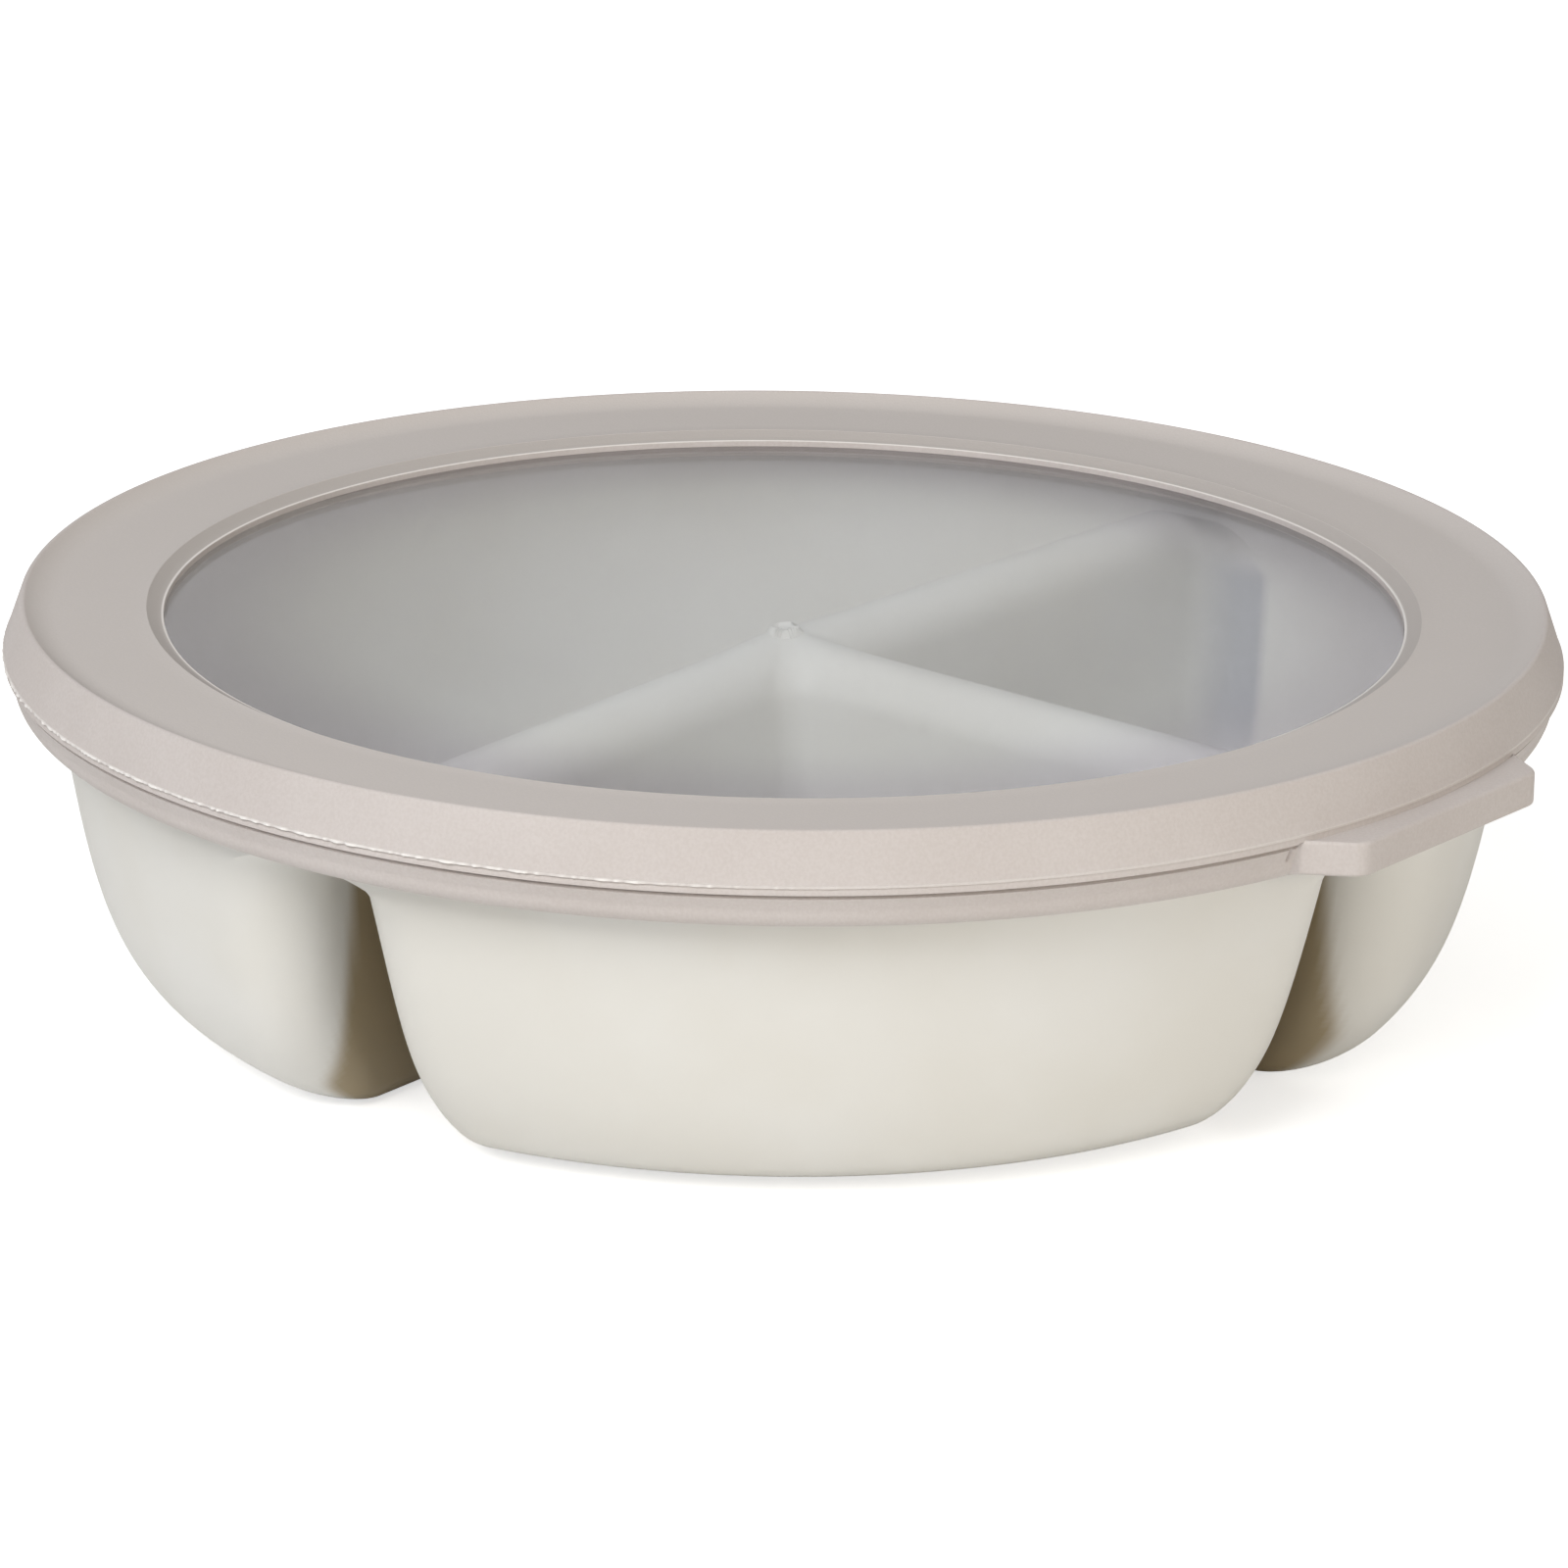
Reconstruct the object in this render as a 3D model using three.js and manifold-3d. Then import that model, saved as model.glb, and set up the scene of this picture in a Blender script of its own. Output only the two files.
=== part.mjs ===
// Round lunch bowl with three compartments and a soft-rimmed lid with a clear window.
// Millimetres, +Z up. The bowl stands on z = 0 and the pull tab points along +X.
import * as THREE from "three";
import { mergeVertices } from "three/addons/utils/BufferGeometryUtils.js";
import Module from "manifold-3d";

// Bowl: the outer wall is one curve from the floor's edge up to the lid's band, then straight to the mouth.
const rimHeight = 50.6;
const skin = 1.6;
const floorRadius = 69;
const floorPull = 22.4;
const wallRadius = 95.9;
const wallDraft = THREE.MathUtils.degToRad(10.5);
const wallPull = 23.4;
const flangeReach = 1.5;
const flangeDepth = 1.9;
const edgeRound = 0.5;

// Folds between the pockets, open from below. Their roofs are the dividers that the food sees.
const foldHalfGap = 4.2;
const foldDraft = THREE.MathUtils.degToRad(5.8);
const archDepth = 10.45;
const endRise = 2.3;
const endRun = 8;
const crestFall = 2;
const crestHalfFlat = 2.7;
const crestRound = 3.2;
const roofRun = 23;
const pocketCorner = 9.5;
const floorCorner = 1.5;
const cornerRise = 2;
const hubCorner = 4.2;
const floorRound = 2.7;
const floorFillet = 4;
const gateRadius = 2;
const gateHeight = 1;

// Lid rim: a soft ring with a skirt, a ridge, a dished top and a band below its moulding line.
const bandDepth = 8.7;
const bandTaper = 0.3;
const bandRound = 0.7;
const skirtThickness = 2;
const partingDrop = 2.9;
const partingDepth = 1.2;
const partingStep = 0.9;
const ridgeRise = 3.1;
const ridgeInset = 3.2;
const ridgeRound = 1.2;
const dishLean = THREE.MathUtils.degToRad(35);
const dishWidth = 8.3;
const dishDepth = 1.5;
const annulusWidth = 7;
const bevelWidth = 2.4;
const lipDrop = 0.6;

// Lid window: a clear disc whose edge is held in a slot of the rim.
const windowThickness = 1.8;
const windowDrop = 1.3;
const windowEdge = 0.4;
const slotDepth = 7;
const slotLip = 1.2;

// Seal skirt that goes down inside the bowl's mouth.
const sealDepth = 5.4;
const sealThickness = 2;
const sealTaper = 0.9;

// Pull tab, moulded on the band.
const tabReach = 3.8;
const tabOuterHalf = 18.4;
const tabRootHalf = 23.6;
const tabCorner = 1.6;
const tabEdge = 0.5;

// Clearance between pieces that fit together, and facet counts.
const clearance = 0.3;
const turns = 64;
const arcSteps = 12;
const cornerSteps = 4;
const sideSteps = 5;
const curveShares = [0, 0.12, 0.25, 0.38, 0.53, 0.68, 0.84];
const roundSteps = 3;
const edgeSteps = 2;
const ridgeSteps = 5;
const dishSteps = 4;
const tipSteps = 4;
const runSteps = 4;
const endSteps = 4;
const halvings = 40;
const weld = 1e-4;
const cutMargin = 2;

const wasm = await Module();
wasm.setup();

// A closed geometry as a solid that can be joined and cut.
function solidOf(geometry) {
  const bare = new THREE.BufferGeometry();
  bare.setAttribute("position", geometry.getAttribute("position"));
  bare.setIndex(geometry.getIndex());
  const merged = mergeVertices(bare, weld);
  const vertProperties = new Float32Array(merged.getAttribute("position").array);
  const triVerts = new Uint32Array(merged.getIndex().array);
  return new wasm.Manifold(new wasm.Mesh({ numProp: 3, vertProperties, triVerts }));
}

// A solid back as a geometry with flat-shaded faces.
function geometryOf(solid) {
  const mesh = solid.getMesh();
  const geometry = new THREE.BufferGeometry();
  geometry.setAttribute("position", new THREE.BufferAttribute(mesh.vertProperties, 3));
  geometry.setIndex(new THREE.BufferAttribute(mesh.triVerts, 1));
  const flat = geometry.toNonIndexed();
  flat.computeVertexNormals();
  return flat;
}

// Turns an outline of [radius, height] points, listed anticlockwise, about the bowl's axis.
function turned(outline) {
  const points = outline.map(([radius, height]) => new THREE.Vector2(radius, height));
  const onAxis = points[0].x === 0 && points[points.length - 1].x === 0;
  if (!onAxis) points.push(points[0].clone());
  return new THREE.LatheGeometry(points, turns).rotateX(Math.PI / 2);
}

// Points of an arc in a [radius, height] outline, from one angle to another.
function arc(radius, height, size, from, to, steps) {
  const curve = new THREE.EllipseCurve(radius, height, size, size, from, to, to < from);
  return curve.getPoints(steps).map((point) => [point.x, point.y]);
}

// Heights that follow from the rim: the lid's band hides the wall's straight top and the folds' arches.
const wallHeight = rimHeight - bandDepth;
const archHeight = rimHeight - archDepth;

// The bowl's outer wall: level at the floor's edge, leaning out by the draft at the top.
const wallCurve = new THREE.CubicBezierCurve(
  new THREE.Vector2(floorRadius, 0),
  new THREE.Vector2(floorRadius + floorPull, 0),
  new THREE.Vector2(wallRadius - wallPull * Math.sin(wallDraft), wallHeight - wallPull * Math.cos(wallDraft)),
  new THREE.Vector2(wallRadius, wallHeight),
);

// Above the curve the wall is straight.
const wallRadiusAbove = (height) => wallRadius + (height - wallHeight) * Math.tan(wallDraft);

// A point of the wall, moved in by the skin's thickness for the inside.
function wallPoint(t, inward) {
  const point = wallCurve.getPoint(t);
  const along = wallCurve.getTangent(t);
  return new THREE.Vector2(point.x - inward * along.y, point.y + inward * along.x);
}

// Radius of the wall at a height, found on the curve by halving.
function wallRadiusAt(height, inward) {
  if (height >= wallPoint(1, inward).y) return wallRadiusAbove(height) - inward / Math.cos(wallDraft);
  let low = 0;
  let high = 1;
  for (let i = 0; i < halvings; i += 1) {
    const middle = (low + high) / 2;
    if (wallPoint(middle, inward).y < height) low = middle;
    else high = middle;
  }
  return wallPoint(low, inward).x;
}

// How far a fold's roof stands above its arch in the wall: it climbs from the wall, then on to the hub.
const roofEdge = wallRadiusAt(archHeight, 0);
const roofBend = roofEdge - skin - endRun;
function roofRise(radius) {
  const climb = THREE.MathUtils.smoothstep(roofEdge - skin - radius, 0, endRun);
  return endRise * climb + crestFall * Math.max(0, 1 - radius / roofEdge);
}

// Radii at which a roof is drawn: evenly along its run, then evenly down its end.
function roofRadii() {
  const run = Array.from({ length: runSteps }, (_, i) => (roofBend * i) / runSteps);
  const end = Array.from({ length: endSteps }, (_, i) => roofBend + (endRun * i) / endSteps);
  return [...run, ...end];
}

// Half the width of the fold's hollow at a height, without its arch.
const halfGapAt = (height) => foldHalfGap + (archHeight - height) * Math.tan(foldDraft);

// Corner radius of a pocket's outside: tight at the floor, easing out quickly as the wall rises.
const cornerAt = (height) => pocketCorner - (pocketCorner - floorCorner) * Math.exp(-height / cornerRise);

// Circular run-out of a rounded edge: 0 at its start, its size at its end.
const roundOver = (distance, size) => Math.sqrt(Math.max(0, size * size - (size - distance) ** 2));

// Outline of a pocket at one level: a sector with its two outer corners and its hub corner rounded.
// Where it grows into the fold's arch, its corners keep their centres and run out at the wall.
function pocketOutline({ radius, inset, corner, hub, grow }, start, end) {
  const distance = radius - corner;
  const swing = Math.asin((inset + corner) / distance);
  const grown = corner + grow;
  const reach = (radius * radius - distance * distance - grown * grown) / (2 * distance * grown);
  const cut = Math.acos(Math.min(1, reach));
  const edge = swing - Math.asin((grown * Math.sin(cut)) / radius);
  const middle = (start + end) / 2;
  const hubDistance = (inset + hub) / Math.sin((end - start) / 2);
  const hubGrown = hub + grow;
  const quarter = Math.PI / 2;
  const points = [];
  const addArc = (bearing, offset, size, from, to, steps) => {
    const x = offset * Math.cos(bearing);
    const y = offset * Math.sin(bearing);
    for (let i = 0; i <= steps; i += 1) {
      const angle = from + ((to - from) * i) / steps;
      points.push(new THREE.Vector2(x + size * Math.cos(angle), y + size * Math.sin(angle)));
    }
  };
  const addSide = (to, steps) => {
    const from = points[points.length - 1].clone();
    for (let i = 1; i < steps; i += 1) points.push(from.clone().lerp(to, i / steps));
  };
  addArc(start + swing, distance, grown, start - quarter, start + swing - cut, cornerSteps);
  const outerSteps = Math.round((arcSteps * (end - start)) / quarter);
  for (let i = 1; i < outerSteps; i += 1) {
    const angle = start + edge + ((end - start - 2 * edge) * i) / outerSteps;
    points.push(new THREE.Vector2(radius * Math.cos(angle), radius * Math.sin(angle)));
  }
  addArc(end - swing, distance, grown, end - swing + cut, end + quarter, cornerSteps);
  const hubStart = new THREE.Vector2(
    hubDistance * Math.cos(middle) + hubGrown * Math.cos(end + quarter),
    hubDistance * Math.sin(middle) + hubGrown * Math.sin(end + quarter),
  );
  addSide(hubStart, sideSteps);
  addArc(middle, hubDistance, hubGrown, end + quarter, start + Math.PI + quarter, cornerSteps);
  addSide(points[0], sideSteps);
  return points;
}

// A closed solid through level outlines, with each point raised by the fold's roof.
function loft(levels, start, end) {
  const positions = [];
  const index = [];
  const rings = levels.map((level) =>
    pocketOutline(level, start, end).map((point) => {
      const height = level.height + level.follow * roofRise(point.length());
      return positions.push(point.x, point.y, height) / 3 - 1;
    }),
  );
  const count = rings[0].length;
  for (let k = 0; k + 1 < rings.length; k += 1) {
    for (let i = 0; i < count; i += 1) {
      const next = (i + 1) % count;
      index.push(rings[k][i], rings[k][next], rings[k + 1][next]);
      index.push(rings[k][i], rings[k + 1][next], rings[k + 1][i]);
    }
  }
  const addCap = (ring, level, up) => {
    const middle = (start + end) / 2;
    const reach = level.radius / 2;
    const height = level.height + level.follow * roofRise(reach);
    const hub = positions.push(reach * Math.cos(middle), reach * Math.sin(middle), height) / 3 - 1;
    for (let i = 0; i < count; i += 1) {
      const next = (i + 1) % count;
      if (up) index.push(ring[i], ring[next], hub);
      else index.push(ring[next], ring[i], hub);
    }
  };
  addCap(rings[0], levels[0], false);
  addCap(rings[rings.length - 1], levels[levels.length - 1], true);
  const geometry = new THREE.BufferGeometry();
  geometry.setAttribute("position", new THREE.Float32BufferAttribute(positions, 3));
  geometry.setIndex(index);
  return geometry;
}

// How much of the roof's rise a level follows: none low down, all of it at the top.
const followAt = (height, top) => THREE.MathUtils.smoothstep(height, top - roofRun, top);

// Levels of a pocket's outside: floor edge, wall curve, then the fold's arch closing above.
function outerLevels() {
  const levels = [];
  const archFoot = archHeight - foldHalfGap;
  for (const t of curveShares) {
    const { x: radius, y: height } = wallPoint(t, 0);
    const undercut = floorRound - roundOver(Math.min(height, floorRound), floorRound);
    const inset = halfGapAt(height) + undercut;
    levels.push({ height, radius, inset, corner: cornerAt(height), hub: hubCorner + skin, grow: 0 });
  }
  for (let i = 0; i <= roundSteps; i += 1) {
    const angle = ((i / roundSteps) * Math.PI) / 2;
    const height = archFoot + foldHalfGap * Math.sin(angle);
    const radius = wallRadiusAt(height, 0);
    const grow = Math.min(foldHalfGap * (1 - Math.cos(angle)), foldHalfGap - clearance);
    levels.push({ height, radius, inset: foldHalfGap, corner: pocketCorner, hub: hubCorner + skin, grow });
  }
  levels.push({ ...levels[levels.length - 1], height: archHeight + skin / 2 });
  return levels.map((level) => ({ ...level, follow: followAt(level.height, archFoot) }));
}

// Levels of a pocket's inside, one skin in from the outside, with the divider's crest rounded over.
function innerLevels() {
  const levels = [];
  const crest = archHeight + skin;
  const foot = crest - crestRound;
  for (const t of curveShares) {
    const { x: radius, y: height } = wallPoint(t, skin);
    const undercut = floorFillet - roundOver(Math.min(height - skin, floorFillet), floorFillet);
    const inset = halfGapAt(height) + skin / Math.cos(foldDraft) + undercut;
    const corner = Math.max(cornerAt(height) - skin, floorFillet);
    levels.push({ height, radius, inset, corner, hub: hubCorner, grow: 0 });
  }
  const inset = crestHalfFlat + crestRound;
  for (let i = 0; i <= roundSteps; i += 1) {
    const angle = ((i / roundSteps) * Math.PI) / 2;
    const height = foot + crestRound * Math.sin(angle);
    const radius = wallRadiusAt(height, skin);
    const grow = crestRound * (1 - Math.cos(angle));
    levels.push({ height, radius, inset, corner: pocketCorner - skin, hub: hubCorner, grow });
  }
  const followed = levels.map((level) => ({ ...level, follow: followAt(level.height, foot) }));
  const clear = crest + endRise + crestFall + cutMargin;
  return [...followed, { ...followed[followed.length - 1], height: clear, follow: 0 }];
}

// The flange round the mouth, which the lid's skirt goes over.
const flangeRadius = wallRadiusAbove(rimHeight) + flangeReach;

// The body above the folds: their roofs below, the wall and the flange outside, filled up to the mouth.
function upperBody() {
  const flangeFoot = rimHeight - flangeDepth;
  const half = Math.PI / 2;
  return turned([
    ...roofRadii().map((radius) => [radius, archHeight + roofRise(radius)]),
    [roofEdge - skin, archHeight],
    [roofEdge, archHeight],
    [wallRadius, wallHeight],
    [wallRadiusAbove(flangeFoot), flangeFoot],
    ...arc(flangeRadius - edgeRound, flangeFoot + edgeRound, edgeRound, -half, 0, edgeSteps),
    ...arc(flangeRadius - edgeRound, rimHeight - edgeRound, edgeRound, 0, half, edgeSteps),
    [0, rimHeight],
  ]);
}

// The space above the dividers' crests, open at the mouth. The moulding gate stays proud at the hub.
function mouthSpace() {
  const crest = (radius) => archHeight + skin + roofRise(radius);
  const half = Math.PI / 2;
  const lip = wallRadiusAt(rimHeight, skin);
  const beyondGate = roofRadii().filter((radius) => radius > gateRadius);
  return turned([
    [0, crest(0) + gateHeight],
    [gateRadius, crest(0) + gateHeight],
    [gateRadius, crest(gateRadius)],
    ...beyondGate.map((radius) => [radius, crest(radius)]),
    [wallRadiusAt(archHeight + skin, skin), archHeight + skin],
    ...arc(lip + edgeRound, rimHeight - edgeRound, edgeRound, 2 * half, half, edgeSteps),
    [lip + edgeRound, rimHeight + cutMargin],
    [0, rimHeight + cutMargin],
  ]);
}

function makeBowl() {
  const quarter = Math.PI / 2;
  const pockets = [
    [0, quarter],
    [quarter, 3 * quarter],
    [3 * quarter, 4 * quarter],
  ];
  let body = solidOf(upperBody());
  for (const [start, end] of pockets) body = body.add(solidOf(loft(outerLevels(), start, end)));
  for (const [start, end] of pockets) body = body.subtract(solidOf(loft(innerLevels(), start, end)));
  return geometryOf(body.subtract(solidOf(mouthSpace())));
}

// Heights of the lid, up from the flange that it sits on. The window lies in the rim's slot, below its lip.
const seatHeight = rimHeight + clearance;
const ridgeHeight = seatHeight + ridgeRise;
const annulusHeight = ridgeHeight - dishDepth;
const lipHeight = annulusHeight - lipDrop;
const windowTop = lipHeight - windowDrop;
const slotTop = windowTop + clearance;
const slotBottom = windowTop - windowThickness - clearance;
const partingHeight = rimHeight - partingDrop;
const partingFoot = partingHeight - partingDepth;

// Radii of the lid, out from the flange to the moulding line and back in to the window.
const skirtInner = flangeRadius + clearance;
const bandFoot = skirtInner + skirtThickness;
const bandRadius = bandFoot + bandTaper;
const partingRadius = bandRadius + partingStep;
const ridgeRadius = partingRadius - ridgeInset;
const dishRadius = ridgeRadius - dishWidth;
const annulusInner = dishRadius - annulusWidth;
const lipRadius = annulusInner - bevelWidth;
const slotRadius = lipRadius + slotDepth;
const windowRadius = slotRadius - clearance;

// The soft ring's section, anticlockwise from the bottom of its band.
function rimSection() {
  const half = Math.PI / 2;
  const sealTop = wallRadiusAt(rimHeight, skin) - clearance;
  const sealTip = seatHeight - sealDepth;
  const sealFoot = wallRadiusAt(sealTip, skin) - clearance - sealTaper;
  const tipRound = sealThickness / 2;
  const under = slotBottom - slotLip;
  const lean = Math.atan2(partingRadius - ridgeRadius - ridgeRound, ridgeHeight - ridgeRound - partingHeight);
  const ridge = arc(ridgeRadius, ridgeHeight - ridgeRound, ridgeRound, lean, half + dishLean, ridgeSteps);
  const [brink, brinkHeight] = ridge[ridge.length - 1];
  const dish = new THREE.QuadraticBezierCurve(
    new THREE.Vector2(brink, brinkHeight),
    new THREE.Vector2(brink - (brinkHeight - annulusHeight) / Math.tan(dishLean), annulusHeight),
    new THREE.Vector2(dishRadius, annulusHeight),
  );
  return [
    [skirtInner, wallHeight],
    ...arc(bandFoot - bandRound, wallHeight + bandRound, bandRound, -half, 0, roundSteps),
    [bandRadius, partingFoot - partingStep / 2],
    [partingRadius, partingFoot],
    [partingRadius, partingHeight],
    ...ridge.slice(0, -1),
    ...dish.getPoints(dishSteps).map((point) => [point.x, point.y]),
    [annulusInner, annulusHeight],
    [lipRadius, lipHeight],
    [lipRadius, slotTop + edgeRound],
    [lipRadius + edgeRound, slotTop],
    [slotRadius, slotTop],
    [slotRadius, slotBottom],
    [lipRadius + slotLip, slotBottom],
    [lipRadius + slotLip, under],
    [sealFoot - sealThickness, under],
    ...arc(sealFoot - tipRound, sealTip + tipRound, tipRound, 2 * half, 4 * half, tipSteps),
    [sealTop - sealTaper, seatHeight - sealTaper],
    [sealTop, seatHeight],
    [skirtInner, seatHeight],
  ];
}

// The pull tab's plate, drawn from above: it narrows outwards and its outer corners are round.
function tabPlate() {
  const middle = bandRadius - skirtThickness / 2;
  const root = Math.sqrt(middle * middle - tabRootHalf * tabRootHalf);
  const outer = partingRadius + tabReach;
  const flare = (tabCorner * (tabRootHalf - tabOuterHalf)) / (outer - root);
  const shape = new THREE.Shape();
  shape.moveTo(root, -tabRootHalf);
  shape.lineTo(outer - tabCorner, -tabOuterHalf - flare);
  shape.quadraticCurveTo(outer, -tabOuterHalf, outer, -tabOuterHalf + tabCorner);
  shape.lineTo(outer, tabOuterHalf - tabCorner);
  shape.quadraticCurveTo(outer, tabOuterHalf, outer - tabCorner, tabOuterHalf + flare);
  shape.lineTo(root, tabRootHalf);
  shape.closePath();
  const options = {
    depth: partingFoot - wallHeight - 2 * tabEdge,
    bevelSize: tabEdge,
    bevelOffset: -tabEdge,
    bevelThickness: tabEdge,
    bevelSegments: edgeSteps,
    curveSegments: cornerSteps,
  };
  return new THREE.ExtrudeGeometry(shape, options).translate(0, 0, wallHeight + tabEdge);
}

function makeRim() {
  return geometryOf(solidOf(turned(rimSection())).add(solidOf(tabPlate())));
}

// The clear disc, with its edges eased.
function makeWindow() {
  const bottom = windowTop - windowThickness;
  const half = Math.PI / 2;
  return turned([
    [0, bottom],
    ...arc(windowRadius - windowEdge, bottom + windowEdge, windowEdge, -half, 0, edgeSteps),
    ...arc(windowRadius - windowEdge, windowTop - windowEdge, windowEdge, 0, half, edgeSteps),
    [0, windowTop],
  ]);
}

function addPiece(parent, name, geometry, finish) {
  const mesh = new THREE.Mesh(geometry, new THREE.MeshStandardMaterial({ name, ...finish }));
  mesh.name = name;
  parent.add(mesh);
}

const bentoBowl = new THREE.Group();
// The tab makes the outline longer on one side, so the axis stands half its reach behind the middle.
bentoBowl.position.x = -tabReach / 2;

const lid = new THREE.Group();
bentoBowl.add(lid);

addPiece(bentoBowl, "bowl", makeBowl(), { color: "#e1ddd6", roughness: 0.45, metalness: 0 });
addPiece(lid, "lid_rim", makeRim(), { color: "#bfb5b0", roughness: 0.7, metalness: 0 });
addPiece(lid, "lid_window", makeWindow(), {
  color: "#d9dde2",
  roughness: 0.08,
  metalness: 0,
  transparent: true,
  opacity: 0.35,
});

export default bentoBowl;
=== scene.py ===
# Bento bowl: an ivory bowl with three pockets in one skin, and a lift-off lid with a soft rim and a window.
import math

import bmesh
import bpy
import numpy as np
from mathutils import Matrix, Vector


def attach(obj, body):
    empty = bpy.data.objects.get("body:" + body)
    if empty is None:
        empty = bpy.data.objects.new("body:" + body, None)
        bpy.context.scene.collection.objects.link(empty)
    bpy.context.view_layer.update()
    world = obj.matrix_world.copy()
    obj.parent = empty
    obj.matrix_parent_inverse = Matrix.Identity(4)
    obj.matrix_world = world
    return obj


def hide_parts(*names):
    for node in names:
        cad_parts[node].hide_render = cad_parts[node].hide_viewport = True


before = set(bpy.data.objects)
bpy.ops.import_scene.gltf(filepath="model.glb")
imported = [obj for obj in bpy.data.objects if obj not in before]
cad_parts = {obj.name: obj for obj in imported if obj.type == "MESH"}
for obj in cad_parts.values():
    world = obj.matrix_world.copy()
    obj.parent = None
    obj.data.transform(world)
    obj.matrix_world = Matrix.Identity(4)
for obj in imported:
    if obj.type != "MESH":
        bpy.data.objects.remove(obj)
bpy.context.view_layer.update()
scene = bpy.context.scene
mm = 0.001
axisX = -1.9  # mm: the bowl's axis stands behind the outline's middle by half the tab's reach
print("frame loaded")


# camera: placed so that the bowl's axis falls where the photograph has it

camera = dict(
    lens=157.5,  # mm, as the sensor's width
    sensor=36,
    azimuth=38,  # degrees, from -Y towards +X
    elevation=18.27,
    roll=0.78,
    pivotHeight=47.7,  # mm: the point of the axis that the next two refer to
    pivotAhead=906.6,
    pivotDown=-20,
)


def placeCamera(spec):
    # azimuth and elevation give the line of sight, and the pivot's place in view gives the camera's place
    turn, tilt, roll = (math.radians(spec[key]) for key in ("azimuth", "elevation", "roll"))
    across = Vector((math.cos(turn), math.sin(turn), 0))
    away = Vector((-math.sin(turn), math.cos(turn), 0))
    up = Vector((0, 0, 1))
    ahead = math.cos(tilt) * away - math.sin(tilt) * up
    below = -math.sin(tilt) * away - math.cos(tilt) * up
    right = math.cos(roll) * across - math.sin(roll) * below
    down = math.sin(roll) * across + math.cos(roll) * below
    place = Vector((axisX, 0, spec["pivotHeight"]))
    place -= spec["pivotAhead"] * ahead + spec["pivotDown"] * down
    eye = bpy.data.cameras.new("camera")
    eye.lens = spec["lens"]
    eye.sensor_width = spec["sensor"]
    holder = bpy.data.objects.new("camera", eye)
    facing = Matrix((right, -down, -ahead)).transposed().to_4x4()
    holder.matrix_world = Matrix.Translation(place * mm) @ facing
    scene.collection.objects.link(holder)
    scene.camera = holder


placeCamera(camera)
print("camera placed")


mergeDistance = 1e-6  # m
sharpAngle = math.radians(38)


def smoothStep(share):
    # an eased climb from 0 to 1: three squares less two cubes
    share = np.clip(share, 0, 1)
    return share * share * (3 - 2 * share)


def bend(centre, size, first, last, steps):
    # points of an arc about a centre, from one angle in degrees to another
    angle = np.radians(np.linspace(first, last, steps + 1))
    return np.stack([centre[0] + size * np.cos(angle), centre[1] + size * np.sin(angle)], 1)


def revolve(profile, angle):
    # profile rows of (radius, height) carried round the axis: a grid of rows by angles
    radius, height = profile[:, 0][:, None], profile[:, 1][:, None]
    return np.stack([radius * np.cos(angle), radius * np.sin(angle), height + 0 * angle], -1)


def weldedPiece(name, grids, marks=None):
    # grids of points in mm become one closed mesh: quads between neighbours, equal points merged
    corners, quads, first = [], [], 0
    for grid in grids:
        rows, columns = grid.shape[:2]
        index = first + np.arange(rows * columns).reshape(rows, columns)
        square = index[:-1, :-1], index[:-1, 1:], index[1:, 1:], index[1:, :-1]
        quads.append(np.stack(square, -1).reshape(-1, 4))
        corners.append(grid.reshape(-1, 3))
        first += rows * columns
    corners = (np.concatenate(corners) + [axisX, 0, 0]) * mm
    mesh = bpy.data.meshes.new(name)
    mesh.from_pydata(corners.tolist(), [], np.concatenate(quads).tolist())
    for mark, values in (marks or {}).items():
        values = np.concatenate([grid.ravel() for grid in values])
        mesh.attributes.new(mark, "FLOAT", "POINT").data.foreach_set("value", values.astype(np.float32))
    work = bmesh.new()
    work.from_mesh(mesh)
    bmesh.ops.remove_doubles(work, verts=work.verts, dist=mergeDistance)
    bmesh.ops.recalc_face_normals(work, faces=work.faces)
    openEdges = sum(len(edge.link_faces) != 2 for edge in work.edges)
    work.to_mesh(mesh)
    work.free()
    mesh.shade_smooth()
    mesh.set_sharp_from_angle(angle=sharpAngle)
    piece = bpy.data.objects.new(name, mesh)
    scene.collection.objects.link(piece)
    print(name, len(mesh.polygons), "faces,", openEdges, "open edges")
    return piece


# bowl, in mm: pockets lofted level by level, outside and inside, joined under and over the folds

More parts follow.
